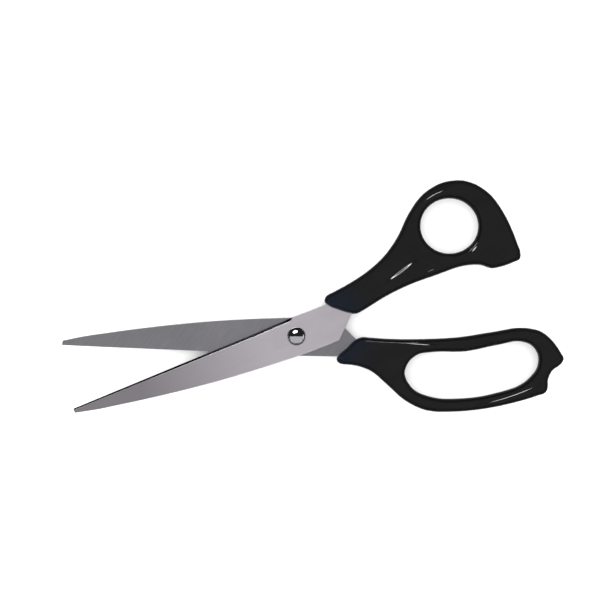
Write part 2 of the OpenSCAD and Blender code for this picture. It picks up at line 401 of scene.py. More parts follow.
def brushed_steel(name, turn, dark, light, roughness, grain_turn, contrast):
    """Ground steel: grain along one direction, cloudy polish, and painted shade that darkens it toward the
    tip.
    """
    shader = Shader(name)
    shader.set(Metallic=1.0)
    along_grain = turn + grain_turn
    grain = shader.noise(shader.place(along_grain, (0.05, 1.0, 1.0)), 1.7, 5.0, 0.7)
    fine = shader.noise(shader.place(along_grain, (0.03, 1.0, 1.0)), 18.0, 3.0, 0.7)
    clouds = shader.noise(shader.place(turn, (0.6, 1.0, 1.0)), 0.11, 2.0, 0.5)
    specks = shader.noise(shader.place(turn), 3.0, 3.0, 0.6)

    separate = shader.add("ShaderNodeSeparateXYZ")
    shader.link(shader.place(turn), separate.inputs["Vector"])
    start, end = TIP_X + PIVOT[0], FULL_X + PIVOT[0]
    along = shader.remap(separate.outputs["X"], start, end, 0.0, 1.0)
    waved = shader.sum(shader.remap(clouds, 0.0, 1.0, -0.12, 0.12), along)
    # painted shade: the colour darkens toward the tip in place of a fall in reflected light
    tone = shader.ramp(waved, [(0.0, dark), (1.0, light)])
    tinted = shader.mix(shader.remap(clouds, 0.35, 0.65, 0.0, 1.0), tone, STEEL_CLOUD, "MULTIPLY")
    streaks = shader.remap(grain, 0.3, 0.75, 0.0, contrast)
    shader.out("Base Color", shader.mix(streaks, tinted, STEEL_GRAIN, "MULTIPLY"))
    uneven = shader.sum(shader.remap(fine, 0.2, 0.8, roughness - 0.05, roughness + 0.07), specks, 0.05)
    shader.out("Roughness", uneven)
    shader.bump(shader.sum(grain, fine, 0.6), 0.006, 0.5)
    return shader.material


def polished_steel(name, colour, roughness):
    """A bright turned or ground surface with faint rings of wear."""
    shader = Shader(name)
    shader.set(Metallic=1.0)
    swirl = shader.noise(shader.place(scale=(1.0, 1.0, 0.3)), 2.2, 3.0, 0.6)
    fine = shader.noise(shader.place(), 9.0, 4.0, 0.65)
    worn = tuple(0.72 * c for c in colour)
    shader.out("Base Color", shader.mix(shader.remap(swirl, 0.45, 0.8, 0.0, 0.6), colour, worn))
    shader.out("Roughness", shader.remap(fine, 0.25, 0.75, roughness * 0.7, roughness * 1.4))
    shader.bump(shader.sum(swirl, fine, 0.3), 0.02, 0.35)
    return shader.material


def moulded_plastic(name):
    """Black moulded plastic with a fine skin, and a painted bluish reflection near the steel."""
    shader = Shader(name)
    shader.set(Metallic=0.0, IOR=1.46, Specular_IOR_Level=0.22)
    skin = shader.noise(shader.place(), 5.0, 4.0, 0.6)
    flow = shader.noise(shader.place(0.4, (0.3, 1.0, 1.0)), 0.16, 3.0, 0.5)
    coordinates = shader.add("ShaderNodeTexCoord")
    away = shader.add("ShaderNodeVectorMath", operation="DISTANCE")
    away.inputs[1].default_value = Vector(PIVOT * MM)
    shader.link(coordinates.outputs["Object"], away.inputs[0])
    # painted reflection: a bluish sheen mixed into the colour close to the pivot
    painted_sheen_share = shader.remap(away.outputs["Value"], NEAR_STEEL_M, CLEAR_OF_STEEL_M, 1.0, 0.0)
    patches = shader.remap(flow, 0.3, 0.7, 0.0, 1.0)
    body = shader.mix(patches, PLASTIC_DARK, PLASTIC_LIGHT)
    shader.out("Base Color", shader.mix(painted_sheen_share, body, PLASTIC_PAINTED_SHEEN))
    shader.out("Roughness", shader.sum(shader.remap(flow, 0.3, 0.7, 0.075, 0.105), skin, 0.03))
    shader.bump(skin, 0.006, 0.25)
    return shader.material


# ---- blades

def silhouette(half, stations):
    """Lowest y, highest y and lowest z of the closed CAD blade at each x."""
    points = half.to_closed(node_points(half.blade))
    corners = node_triangles(half.blade)
    ends = np.concatenate((corners[:, [0, 1]], corners[:, [1, 2]], corners[:, [2, 0]]))
    a, b = points[ends[:, 0]], points[ends[:, 1]]
    swap = a[:, 0] > b[:, 0]
    a[swap], b[swap] = b[swap].copy(), a[swap].copy()
    run = b[:, 0] - a[:, 0]
    sloped = run > 1e-5
    a, b, run = a[sloped], b[sloped], run[sloped]
    rows = []
    for x in stations:
        crossing = (a[:, 0] <= x + 1e-4) & (b[:, 0] >= x - 1e-4)
        share = np.clip((x - a[crossing, 0]) / run[crossing], 0.0, 1.0)[:, None]
        at = a[crossing] + (b[crossing] - a[crossing]) * share
        rows.append((at[:, 1].min(), at[:, 1].max(), at[:, 2].min()))
    return np.array(rows)


def blade_stations(half):
    """Places along the blade: every corner of its outline, with even steps between them."""
    x = half.to_closed(node_points(half.blade))[:, 0]
    low, high = x.min(), x.max()
    own = np.unique(np.round(x, 3))
    shape = silhouette(half, own)
    corners = [low]
    for i in range(1, len(own) - 1):
        before, after = own[i] - own[i - 1], own[i + 1] - own[i]
        for side in (0, 1):
            slope_after = (shape[i + 1, side] - shape[i, side]) / after
            slope_before = (shape[i, side] - shape[i - 1, side]) / before
            if abs(slope_after - slope_before) > CORNER_SLOPE and own[i] - corners[-1] > CORNER_GAP:
                corners.append(own[i])
    corners.append(high)
    stations = []
    for start, end in zip(corners[:-1], corners[1:]):
        count = max(1, round((end - start) / STATION_STEP))
        stations.extend(np.linspace(start, end, count, endpoint=False))
    stations.append(high)
    return np.array(stations)


def corner_arc(before, corner, after, steps):
    """Rounds a corner with a parabola between two points."""
    t = np.linspace(0.0, 1.0, steps)[:, None]
    before, corner, after = (np.array(p, float) for p in (before, corner, after))
    return (1 - t) ** 2 * before + 2 * t * (1 - t) * corner + t ** 2 * after


def bevel_fade(x):
    """1 where the bevel has its full height, falling to 0 where it runs out before the tang."""
    return 1.0 - smoothstep((x - BEVEL_END) / BEVEL_RUNOUT)


def hollow_depth(x):
    """Depth of the hollow grinding at one place along the blade."""
    rise = smoothstep((x - HOLLOW_START) / HOLLOW_RISE)
    fall = smoothstep((x - HOLLOW_END) / HOLLOW_FALL)
    return HOLLOW_DEPTH * rise * (1.0 - fall)


def blade_section(x, edge_y, spine_y, outer_z):
    """One cross-section from the cutting edge, round the outer face and the spine, and back."""
    thick = -INNER_Z - outer_z
    width = spine_y - edge_y
    toward_pivot = float(np.clip((x - BEVEL_RUN_FROM) / (BEVEL_RUN_TO - BEVEL_RUN_FROM), 0.0, 1.0))
    run = BEVEL_RUN_TIP + (BEVEL_RUN_PIVOT - BEVEL_RUN_TIP) * toward_pivot
    full = min((thick - EDGE_LAND) * run, BEVEL_WIDEST * width)
    fade = bevel_fade(x)
    bevel = full * fade
    wall = EDGE_LAND + (thick - EDGE_LAND) * (1.0 - fade)
    soft = min(SPINE_ROUND, ROUND_SHARE * width)
    crisp = min(SHOULDER_ROUND + SHOULDER_GAIN * toward_pivot, ROUND_SHARE * width)
    crisp = TANG_ROUND + (crisp - TANG_ROUND) * fade
    crisp = min(crisp, ROUND_SHARE * (width - bevel))

    slope = np.array([bevel, -(thick - wall)])
    length = max(np.hypot(*slope), 1e-6)
    top = np.array([edge_y + bevel, outer_z])
    if fade > NO_BEVEL and length > crisp:
        before = top - slope / length * crisp
    else:
        before = top + np.array([0.0, crisp])
    shoulder = corner_arc(before, top, top + [crisp, 0.0], ARC_POINTS)
    spine_corner = [spine_y, outer_z]
    spine = corner_arc([spine_y - soft, outer_z], spine_corner, [spine_y, outer_z + soft], ARC_POINTS)
    half_soft = 0.5 * soft
    back_start = [spine_y, -INNER_Z - half_soft]
    back_end = [spine_y - half_soft, -INNER_Z]
    back = corner_arc(back_start, [spine_y, -INNER_Z], back_end, BACK_ARC_POINTS)

    across = np.linspace(0.0, 1.0, FACE_POINTS + 2)[1:-1]
    face_y = shoulder[-1, 0] + (spine[0, 0] - shoulder[-1, 0]) * across
    face = np.column_stack((face_y, np.full(len(across), outer_z)))
    inner_y = back[-1, 0] + (edge_y + HOLLOW_SHARE * bevel - back[-1, 0]) * across
    inner = np.column_stack((inner_y, -INNER_Z - hollow_depth(x) * 4 * across * (1 - across)))

    both = np.vstack((shoulder, face, spine))
    middle = (edge_y + bevel + spine_y) / 2
    reach = max((spine_y - edge_y - bevel) / 2, HALF_FACE_LEAST)
    both[:, 1] += FACE_CROWN * np.clip((both[:, 0] - middle) / reach, -1.0, 1.0) ** 2
    foot = np.array([edge_y, max(-INNER_Z - wall * LAND_SHARE, both[0, 1] + FOOT_CLEAR)])
    start = [[edge_y, -INNER_Z], foot, (foot + both[0]) / 2]
    return np.vstack((start, both, back, inner))


def pivot_cutter(name, radius, half_height):
    """A plain round cutter on the pivot's axis."""
    steps = 64
    ring = [(radius * math.cos(2 * math.pi * i / steps), radius * math.sin(2 * math.pi * i / steps))
            for i in range(steps)]
    vertices = [(x, y, z) for z in (-half_height, half_height) for x, y in ring]
    faces = [list(range(steps))[::-1], list(range(steps, 2 * steps))]
    faces += [[i, (i + 1) % steps, steps + (i + 1) % steps, steps + i] for i in range(steps)]
    return new_object(name, np.array(vertices) + PIVOT, faces, [])


def make_blade(half, body, materials, hole_radius):
    """The ground blade with its tang and buried tongue, in place of its CAD node."""
    stations = blade_stations(half)
    inside = stations.copy()
    inside[0] += END_INSET
    inside[-1] -= END_INSET
    shape = silhouette(half, inside)
    rings = [blade_section(x, *row) for x, row in zip(stations, shape)]
    count = len(rings[0])
    vertices = np.array([(x, y, z) for x, ring in zip(stations, rings) for y, z in ring])
    hubs = [[stations[end], *rings[end].mean(axis=0)] for end in (0, -1)]
    vertices = np.vstack((vertices, hubs))
    faces = []
    for first, hub in ((0, len(rings) * count), ((len(rings) - 1) * count, len(rings) * count + 1)):
        faces += [[hub, first + k, first + (k + 1) % count] for k in range(count)]
    slots = [OUTER_SLOT] * len(faces)
    for i in range(len(rings) - 1):
        near, far = i * count, (i + 1) * count
        for k in range(count):
            following = (k + 1) % count
            faces.append([near + k, far + k, far + following, near + following])
            if k >= count - FACE_POINTS - 1:
                slots.append(INNER_SLOT)
            elif k < BEVEL_STRIPS and stations[i] < BEVEL_END + BEVEL_RUNOUT:
                slots.append(BEVEL_SLOT)
            else:
                slots.append(OUTER_SLOT)
    points = inside_box(half.to_row(vertices), half.blade)
    piece = new_object(half.blade + "_ground", points, faces, materials, slots, BLADE_SHARP)
    apply_cut(piece, pivot_cutter("cutter", hole_radius, 5.0))
    return finish_piece(piece, half.blade, body)


# ---- handles

def section_loops(half, node, height):
    """Closed outlines of a CAD node in the plane at one height of the closed frame."""
    points = half.to_closed(node_points(node))
    _, same = np.unique(np.round(points, 4), axis=0, return_inverse=True)
    same = same.reshape(-1)
    place = np.zeros((same.max() + 1, 3))
    place[same] = points
    above = place[:, 2] > height
    neighbours = {}
    for triangle in same[node_triangles(node)]:
        crossed = []
        for a, b in ((0, 1), (1, 2), (2, 0)):
            low, high = sorted((int(triangle[a]), int(triangle[b])))
            if above[low] != above[high]:
                crossed.append((low, high))
        if len(crossed) == 2:
            neighbours.setdefault(crossed[0], []).append(crossed[1])
            neighbours.setdefault(crossed[1], []).append(crossed[0])
    loops = []
    left = set(neighbours)
    while left:
        start = min(left)
        loop, previous, here = [], None, start
        while here is not None:
            left.discard(here)
            loop.append(here)
            onward = [n for n in neighbours[here] if n != previous and n in left]
            previous, here = here, (onward[0] if onward else None)
        ends = np.array(loop)
        low, high = place[ends[:, 0]], place[ends[:, 1]]
        share = (height - low[:, 2]) / (high[:, 2] - low[:, 2])
        loops.append((low + (high - low) * share[:, None])[:, :2])
    return sorted(loops, key=lambda loop: -abs(loop_area(loop)))


def loop_area(loop):
    """Area inside a closed outline, above zero where it runs counter-clockwise."""
    following = np.roll(loop, -1, axis=0)
    return 0.5 * np.sum(loop[:, 0] * following[:, 1] - following[:, 0] * loop[:, 1])


def true_corners(loop):
    """Drops points that lie on a straight run, and points that repeat."""
    kept = loop[np.linalg.norm(loop - np.roll(loop, 1, axis=0), axis=1) > SAME_POINT]
    while True:
        before = kept - np.roll(kept, 1, axis=0)
        after = np.roll(kept, -1, axis=0) - kept
        turn = before[:, 0] * after[:, 1] - before[:, 1] * after[:, 0]
        turn = turn / (np.linalg.norm(before, axis=1) * np.linalg.norm(after, axis=1))
        straight = np.abs(turn) < STRAIGHT_TURN
        if not straight.any():
            return kept
        first = np.flatnonzero(straight)
        first = first[np.concatenate(([True], np.diff(first) > 1))]
        kept = np.delete(kept, first, axis=0)


def smooth_loop(corners, step):
    """A smooth closed curve through the corners, as even points counter-clockwise."""
    if loop_area(corners) < 0:
        corners = corners[::-1]
    before = corners - np.roll(corners, 1, axis=0)
    after = np.roll(corners, -1, axis=0) - corners
    back, ahead = (np.linalg.norm(v, axis=1)[:, None] for v in (before, after))
    direction = (before / back * ahead + after / ahead * back) / (back + ahead)
    t = np.linspace(0.0, 1.0, 8, endpoint=False)[:, None]
    fine = []
    for i in range(len(corners)):
        j = (i + 1) % len(corners)
        chord = ahead[i, 0]
        fine.append(
            (2 * t ** 3 - 3 * t ** 2 + 1) * corners[i] + (t ** 3 - 2 * t ** 2 + t) * direction[i] * chord
            + (3 * t ** 2 - 2 * t ** 3) * corners[j] + (t ** 3 - t ** 2) * direction[j] * chord
        )
    fine = np.vstack(fine)
    closed = np.vstack((fine, fine[:1]))
    along = np.concatenate(([0.0], np.cumsum(np.linalg.norm(np.diff(closed, axis=0), axis=1))))
    count = round(along[-1] / step)
    at = np.linspace(0.0, along[-1], count, endpoint=False)
    return np.column_stack([np.interp(at, along, closed[:, i]) for i in (0, 1)])


def inward_normals(loop, outer):
    """Unit normals that point into the plastic, for a counter-clockwise loop."""
    along = np.roll(loop, -1, axis=0) - np.roll(loop, 1, axis=0)
    along /= np.linalg.norm(along, axis=1)[:, None]
    normals = np.column_stack((-along[:, 1], along[:, 0]))
    return normals if outer else -normals


def edge_distance(points, loops):
    """Distance of each point from the nearest outline, and whether it lies in the plastic."""
    nearest = np.full(len(points), 1e9)
    inside = np.zeros(len(points), dtype=bool)
    x, y = points[:, 0], points[:, 1]
    for loop in loops:
        for a, b in zip(loop, np.roll(loop, -1, axis=0)):
            run = b - a
            share = np.clip(((points - a) @ run) / (run @ run), 0.0, 1.0)
            gap = points - a - share[:, None] * run
            nearest = np.minimum(nearest, np.hypot(gap[:, 0], gap[:, 1]))
            if a[1] != b[1]:
                crosses = (a[1] > y) != (b[1] > y)
                inside ^= crosses & (x < a[0] + (y - a[1]) / (b[1] - a[1]) * run[0])
    return nearest, inside


def rim_depths(count):
    """Distances from the edge for the loops of points round the rim, close together at the edge."""
    turns = np.linspace(0.0, math.pi / 2, count + 1)[1:-1]
    crest = [RIM_WIDTH - CREST_STEP, RIM_WIDTH, RIM_WIDTH + CREST_STEP]
    return np.append(RIM_WIDTH * (1 - np.cos(turns)), crest)


def plate_points(loops, dishes):
    """Points over the whole plate: loops along the rim, rows over the dishes, and a staggered grid."""
    rim = []
    for number, loop in enumerate(loops):
        normals = inward_normals(loop, number == 0)
        for depth in rim_depths(RIM_LOOPS):
            candidates = loop + normals * depth
            distance, inside = edge_distance(candidates, loops)
            rim.append(candidates[inside & (distance > depth * RIM_KEEP - RIM_SLACK)])
    low, high = loops[0].min(axis=0), loops[0].max(axis=0)
    rows = []
    for number, y in enumerate(np.arange(low[1], high[1], GRID_STEP * math.sqrt(3) / 2)):
        x = np.arange(low[0] + (number % 2) * GRID_STEP / 2, high[0], GRID_STEP)
        rows.append(np.column_stack((x, np.full(len(x), y))))
    grid = np.vstack(rows)
    for start, end, bend, half_width, _, _ in dishes:
        u, v = dish_place(grid, start, end, bend, half_width)
        grid = grid[(np.abs(u) > CLEAR_LENGTHS) | (np.abs(v) > CLEAR_WIDTHS)]
    plate = []
    for points, margin in ((grid, GRID_MARGIN), (dish_points(dishes), DISH_MARGIN)):
        distance, inside = edge_distance(points, loops)
        plate.append(points[inside & (distance > RIM_WIDTH + CREST_STEP + margin)])
    return np.vstack(rim + plate)


def relax(values, free, edges, rounds):
    """Evens out values over the mesh, leaving those that aren't free."""
    values = values.copy()
    degree = np.zeros(len(values))
    np.add.at(degree, edges.ravel(), 1)
    for _ in range(rounds):
        total = np.zeros(len(values))
        np.add.at(total, edges[:, 0], values[edges[:, 1]])
        np.add.at(total, edges[:, 1], values[edges[:, 0]])
        values[free] += RELAX_SHARE * (total / degree - values)[free]
    return values


def rounded(distance, width, height, lean):
    """Height of an elliptical edge at a distance from the outline; lean leaves it sloping where it ends."""
    share = 1.0 - np.clip(distance / width, 0.0, 1.0) * (1.0 - lean)
    return height * np.sqrt((1.0 - share ** 2) / (1.0 - lean ** 2))


def dish_axis(start, end):
    """Middle, half length and direction of a dish."""
    start, end = np.array(start), np.array(end)
    reach = np.linalg.norm(end - start) / 2
    return (start + end) / 2, reach, (end - start) / (2 * reach)


def dish_place(points, start, end, bend, half_width):
    """Where points lie in a dish: u runs from -1 to 1 along it, and v from -1 to 1 across it."""
    middle, reach, along = dish_axis(start, end)
    offset = points - middle
    u = offset @ along / reach
    v = offset[:, 1] * along[0] - offset[:, 0] * along[1] - bend * (1 - u ** 2)
    return u, v / half_width


def dishes_depth(points, dishes):
    """Depth of the shallow long dishes pressed into the upper face."""
    depth = np.zeros(len(points))
    for start, end, bend, half_width, deep, taper in dishes:
        u, v = dish_place(points, start, end, bend, half_width)
        depth += deep * np.exp(-np.abs(u) ** taper - v ** 2)
    return depth


def dish_points(dishes):
    """Close-set points over every dish."""
    rows = [np.zeros((0, 2))]
    for start, end, bend, half_width, _, _ in dishes:
        middle, reach, along = dish_axis(start, end)
        across = np.array([-along[1], along[0]])
        count = max(8, round(2 * DISH_LENGTHS * reach / DISH_STEP))
        u = np.linspace(-DISH_LENGTHS, DISH_LENGTHS, count)
        for v in np.arange(-DISH_WIDTHS, DISH_WIDTHS + 0.01, DISH_ROW):
            sideways = v * half_width + bend * (1 - u ** 2)
            rows.append(middle + np.outer(u * reach, along) + np.outer(sideways, across))
    return np.vstack(rows)


def make_handle(half, node, body, material, dishes, soft_box):
    """A moulded handle in place of its CAD node: rounded rims, a crowned top and a parting line."""
    sections = section_loops(half, node, SECTION_Z)
    loops = [smooth_loop(true_corners(loop), LOOP_STEP) for loop in sections]
    top = float(half.to_closed(node_points(node))[:, 2].max())
    border = np.vstack(loops)
    flat = np.vstack((border, plate_points(loops, dishes)))
    constraints, start = [], 0
    for loop in loops:
        count = len(loop)
        constraints += [(start + i, start + (i + 1) % count) for i in range(count)]
        start += count
    result = delaunay_2d_cdt([Vector(p) for p in flat], constraints, [], 0, 1e-6)
    flat = np.array([tuple(p) for p in result[0]])
    triangles = np.array([f for f in result[2] if len(f) == 3])
    middles = flat[triangles].mean(axis=1)
    triangles = triangles[edge_distance(middles, loops)[1]]

    distance, _ = edge_distance(flat, loops)
    edges = np.vstack((triangles[:, [0, 1]], triangles[:, [1, 2]], triangles[:, [2, 0]]))
    swell = top - WALL_HALF - RIM_HEIGHT
    upper = WALL_HALF + rounded(distance, RIM_WIDTH, RIM_HEIGHT, RIM_LEAN)
    upper += swell * (1 - np.exp(-distance / SWELL_REACH))
    upper = relax(upper, distance > RIM_WIDTH + RELAX_FROM, edges, RELAX_ROUNDS)
    upper -= dishes_depth(flat, dishes) * smoothstep(distance / DISH_FADE)
    under = -WALL_HALF - rounded(distance, UNDER_WIDTH, UNDER_HEIGHT, 0.0)
    upper, under = np.minimum(upper, top), np.maximum(under, -top)

    count = len(flat)
    vertices = [np.column_stack((flat, half.side * upper)), np.column_stack((flat, half.side * under))]
    faces = [list(t) for t in triangles] + [list(t[::-1] + count) for t in triangles]
    outline = boundary_edges(triangles)
    number_of = {v: i for i, v in enumerate(sorted({v for e in outline for v in e}))}
    rim = np.array(sorted(number_of))
    outward = outward_normals(flat, outline, rim)
    levels = [(0.5, 0.0), (SEAM_SHARE, 0.0), (0.0, SEAM_PROUD), (-SEAM_SHARE, 0.0), (-0.5, 0.0)]
    chain = [rim]
    for level, proud in levels:
        ring = flat[rim] + outward * proud
        z = np.full(len(rim), half.side * level * 2 * WALL_HALF)
        chain.append(np.arange(len(rim)) + sum(len(v) for v in vertices))
        vertices.append(np.column_stack((ring, z)))
    chain.append(rim + count)
    for upper_ring, lower_ring in zip(chain[:-1], chain[1:]):
        for a, b in outline:
            i, j = number_of[a], number_of[b]
            faces.append([int(upper_ring[i]), int(upper_ring[j]), int(lower_ring[j]), int(lower_ring[i])])
    points = inside_box(half.to_row(np.vstack(vertices)), node)
    piece = new_object(node + "_moulded", points, faces, [material], None, HANDLE_SHARP)
    tidy_normals(piece, HANDLE_SHARP, MERGE)
    mark_crest(piece, half, loops, soft_box)
    return finish_piece(piece, node, body)


def mark_crest(piece, half, loops, soft_box):
    """Keeps the crease crisp where the rim meets the top of a handle, apart from one softer stretch."""
    mesh = piece.data
    closed = half.to_closed(mesh_points(mesh))
    distance, _ = edge_distance(closed[:, :2], loops)
    crest = (np.abs(distance - RIM_WIDTH) < CREST_NEAR) & (closed[:, 2] * half.side > 0.0)
    low, high = np.array(soft_box)
    crest &= ~((closed[:, :2] > low) & (closed[:, :2] < high)).all(axis=1)
    ends = np.zeros(len(mesh.edges) * 2, dtype=np.int64)
    mesh.edges.foreach_get("vertices", ends)
    ends = ends.reshape(-1, 2)
    sharp = mesh.attributes.get("sharp_edge") or mesh.attributes.new("sharp_edge", "BOOLEAN", "EDGE")
    flags = np.zeros(len(mesh.edges), dtype=bool)
    sharp.data.foreach_get("value", flags)
    flags |= crest[ends[:, 0]] & crest[ends[:, 1]]
    sharp.data.foreach_set("value", flags)


def boundary_edges(triangles):
    """Directed edges that belong to one triangle only."""
    seen = {}
    for t in triangles:
        for a, b in ((t[0], t[1]), (t[1], t[2]), (t[2], t[0])):
            key = (min(a, b), max(a, b))
            seen[key] = None if key in seen else (int(a), int(b))
    return [edge for edge in seen.values() if edge is not None]


def outward_normals(flat, outline, rim):
    """Unit normals out of the plastic at each outline point."""
    total = np.zeros((len(flat), 2))
    for a, b in outline:
        run = flat[b] - flat[a]
        normal = np.array([run[1], -run[0]])
        total[a] += normal
        total[b] += normal
    total = total[rim]
    return total / np.linalg.norm(total, axis=1)[:, None]


# ---- pivot

def lathe(name, profile, material, steps=96, sharp=35.0):
    """A closed profile of (radius, height above the meeting plane) turned about the pivot's axis."""
    vertices, faces = [], []
    rings = []
    for radius, height in profile:
        if radius < 1e-6:
            rings.append([len(vertices)] * steps)
            vertices.append((0.0, 0.0, height))
        else:
            rings.append(list(range(len(vertices), len(vertices) + steps)))
            for i in range(steps):
                turn = 2 * math.pi * i / steps
                vertices.append((radius * math.cos(turn), radius * math.sin(turn), height))
    closed = profile[0][0] > 1e-6
    pairs = list(zip(rings[:-1], rings[1:])) + ([(rings[-1], rings[0])] if closed else [])
    for lower, upper in pairs:
        for i in range(steps):
            j = (i + 1) % steps
            corners = list(dict.fromkeys([lower[i], lower[j], upper[j], upper[i]]))
            if len(corners) > 2:
                faces.append(corners)
    return new_object(name, np.array(vertices) + PIVOT, faces, [material], None, sharp)


def rounded_profile(corners, radius, steps=5):
    """Rounds every corner of a closed profile that isn't on the axis."""
    made = []
    count = len(corners)
    for i, corner in enumerate(corners):
        before, after = corners[i - 1], corners[(i + 1) % count]
        if corner[0] < 1e-6:
            made.append(tuple(corner))
            continue
        c = np.array(corner, float)
        back = np.array(before) - c
        ahead = np.array(after) - c
        reach = min(radius, 0.45 * np.linalg.norm(back), 0.45 * np.linalg.norm(ahead))
        arc_start = c + back / np.linalg.norm(back) * reach
        arc_end = c + ahead / np.linalg.norm(ahead) * reach
        made += [tuple(p) for p in corner_arc(arc_start, c, arc_end, steps)]
    return made


def node_span(node):
    """Radius about the pivot, lowest and highest z of a CAD node, in millimetres from the pivot."""
    points = node_points(node) - PIVOT
    radius = float(np.hypot(points[:, 0], points[:, 1]).max())
    return radius, float(points[:, 2].min()), float(points[:, 2].max())


def finish_piece(piece, node, body):
    """Joins a piece to its body and the CAD node that it stands for."""
    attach(piece, body)
    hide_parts(node)
    return piece


def make_nut(material):
    """Domed nut: the polished dome, its neck, and the threaded barrel that the rear blade turns on."""
    radius, low, high = node_span("pivot_nut")
    rim_bottom = node_span("front_washer")[2]
    barrel = 3.0
    bore = 1.79
    bore_end = 2.4
    rim = 0.35
    rim_foot = 0.1
    ease = 0.12
    dome_height = high - rim_bottom - rim
    ball = (radius ** 2 + dome_height ** 2) / (2 * dome_height)
    top = [(ball * math.sin(a), high - ball * (1 - math.cos(a)))
           for a in np.linspace(0.0, math.asin(radius / ball), 28)]
    top[-1] = (radius, rim_bottom + rim)
    below = rounded_profile([(radius, rim_bottom), (barrel, rim_bottom), (barrel, low), (bore, low)], ease)
    profile = top + [(radius, rim_bottom + rim_foot)] + below[2:] + [(bore, bore_end), (0.0, bore_end)]
    piece = lathe("pivot_nut_polished", profile, material)
    return finish_piece(piece, "pivot_nut", "thumb_half")


def make_washer(node, hole, ease, body, material):
    """A flat washer with eased edges."""
    radius, low, high = node_span(node)
    corners = [(hole, low), (radius, low), (radius, high), (hole, high)]
    piece = lathe(node + "_turned", rounded_profile(corners, ease), material)
    return finish_piece(piece, node, body)


def make_spring(material):
    """The dished spring washer."""
    radius, low, high = node_span("spring_washer")
    thick = 0.48
    hole = 1.95
    corners = [(hole, low), (radius, high - thick), (radius, high), (hole, low + thick)]
    piece = lathe("spring_washer_dished", rounded_profile(corners, 0.12), material)
    return finish_piece(piece, "spring_washer", "thumb_half")


def make_screw(material):
    """The slotted tension screw, with an eased head, a cut slot and a threaded shank."""
    radius, low, high = node_span("pivot_screw")
    head_top = node_span("spring_washer")[1]
    shank = 1.72
    root = 1.5
    pitch = 0.5
    slot_half = 0.55
    slot_depth = 1.1
    head_ease = 0.4
    arc_steps = 6
    neck = 0.3
    chamfer = 0.1
    corners = [(0.0, low), (radius, low), (radius, head_top), (root, head_top)]
    head = rounded_profile(corners, head_ease, arc_steps)[1:1 - arc_steps]
    profile = [(0.0, low)] + head + [(root, head_top)]
    height = head_top + neck
    while height + pitch < high - chamfer:
        profile += [(root, height), (shank, height + 0.5 * pitch)]
        height += pitch
    profile += [(root, high - chamfer), (root - chamfer, high), (0.0, high)]
    piece = lathe("pivot_screw_turned", profile, material)
    slot_low = (-radius - 1, -slot_half, low - 1)
    slot_high = (radius + 1, slot_half, low + slot_depth)
    apply_cut(piece, box_cutter(slot_low, slot_high))
    piece.data.set_sharp_from_angle(angle=math.radians(35))
    return finish_piece(piece, "pivot_screw", "tension_screw")


def box_cutter(low, high):
    """A box about the pivot's axis that cuts the screw's slot."""
    vertices = [(x, y, z) for x in (low[0], high[0]) for y in (low[1], high[1]) for z in (low[2], high[2])]
    faces = [(0, 1, 3, 2), (4, 6, 7, 5), (0, 4, 5, 1), (2, 3, 7, 6), (0, 2, 6, 4), (1, 5, 7, 3)]
    return new_object("slot_cutter", np.array(vertices) + PIVOT, faces, [])


# ---- stage, lights and camera

cards = []


def next_distance():
    """Each card stands a little further out than the one before, so that no two lie in one plane."""
    return CARD_DISTANCE + CARD_GAP * len(cards)


def glow_mesh(name, points, strength, receivers):
    """A glowing shape that the camera never sees, and that only the given pieces reflect.

    It is clear as well as glowing, so it doesn't hide the cards of the other pieces behind it.
    """
    mesh = bpy.data.meshes.new(name)
    mesh.from_pydata(points, [], [list(range(len(points)))])
    material = bpy.data.materials.new(name)
    material.use_nodes = True
    nodes = material.node_tree.nodes
    nodes.clear()
    material.cycles.emission_sampling = "FRONT_BACK"
    glow = nodes.new("ShaderNodeEmission")
    glow.inputs["Strength"].default_value = strength
    clear = nodes.new("ShaderNodeBsdfTransparent")
    both = nodes.new("ShaderNodeAddShader")
    output = nodes.new("ShaderNodeOutputMaterial")
    links = material.node_tree.links
    links.new(glow.outputs["Emission"], both.inputs[0])
    links.new(clear.outputs["BSDF"], both.inputs[1])
    links.new(both.outputs["Shader"], output.inputs["Surface"])
    mesh.materials.append(material)
    card = bpy.data.objects.new(name, mesh)
    bpy.context.scene.collection.objects.link(card)
    card.visible_camera = False
    card.visible_shadow = False
    card.visible_diffuse = False
    group = bpy.data.collections.new(name + "_receivers")
    for piece in receivers:
        group.objects.link(piece)
    card.light_linking.receiver_collection = group
    cards.append(card)


def flat_card(name, receivers, near_edge, strength, above=True):
    """A level card that reaches toward +y as far as an edge given as an angle past the pivot's axis."""
    height = next_distance() if above else -next_distance()
    edge = min(abs(height) * math.tan(math.radians(near_edge)), CARD_REACH)
    wide, far = CARD_REACH, -CARD_REACH
    points = [(-wide, far, height), (wide, far, height), (wide, edge, height), (-wide, edge, height)]
    glow_mesh(name, points, strength, receivers)


def sky_point(zenith, azimuth, distance):
    """A point seen from the pivot at an angle off the zenith and an azimuth from +x toward +y."""
    z, a = math.radians(zenith), math.radians(azimuth)
    direction = Vector((math.sin(z) * math.cos(a), math.sin(z) * math.sin(a), math.cos(z)))
    return Vector(PIVOT * MM) + direction * distance


def sky_card(name, receivers, zenith, azimuth, tall, wide, strength, corners=4):
    """A card facing the shears, with 4 corners or a rounder outline; tall and wide are its angles."""
    distance = next_distance()
    centre = sky_point(zenith, azimuth, distance)
    inward = (Vector(PIVOT * MM) - centre).normalized()
    sideways = inward.cross(Vector((0, 0, 1))).normalized()
    up = sideways.cross(inward).normalized()
    half_width = distance * math.tan(math.radians(wide / 2))
    half_height = distance * math.tan(math.radians(tall / 2))
    reach = 1 / math.cos(math.pi / 4) if corners == 4 else 1.0
    points = []
    for i in range(corners):
        turn = 2 * math.pi * (i + 0.5) / corners
        across = sideways * half_width * math.cos(turn) * reach
        points.append(centre + across + up * half_height * math.sin(turn) * reach)
    glow_mesh(name, points, strength, receivers)


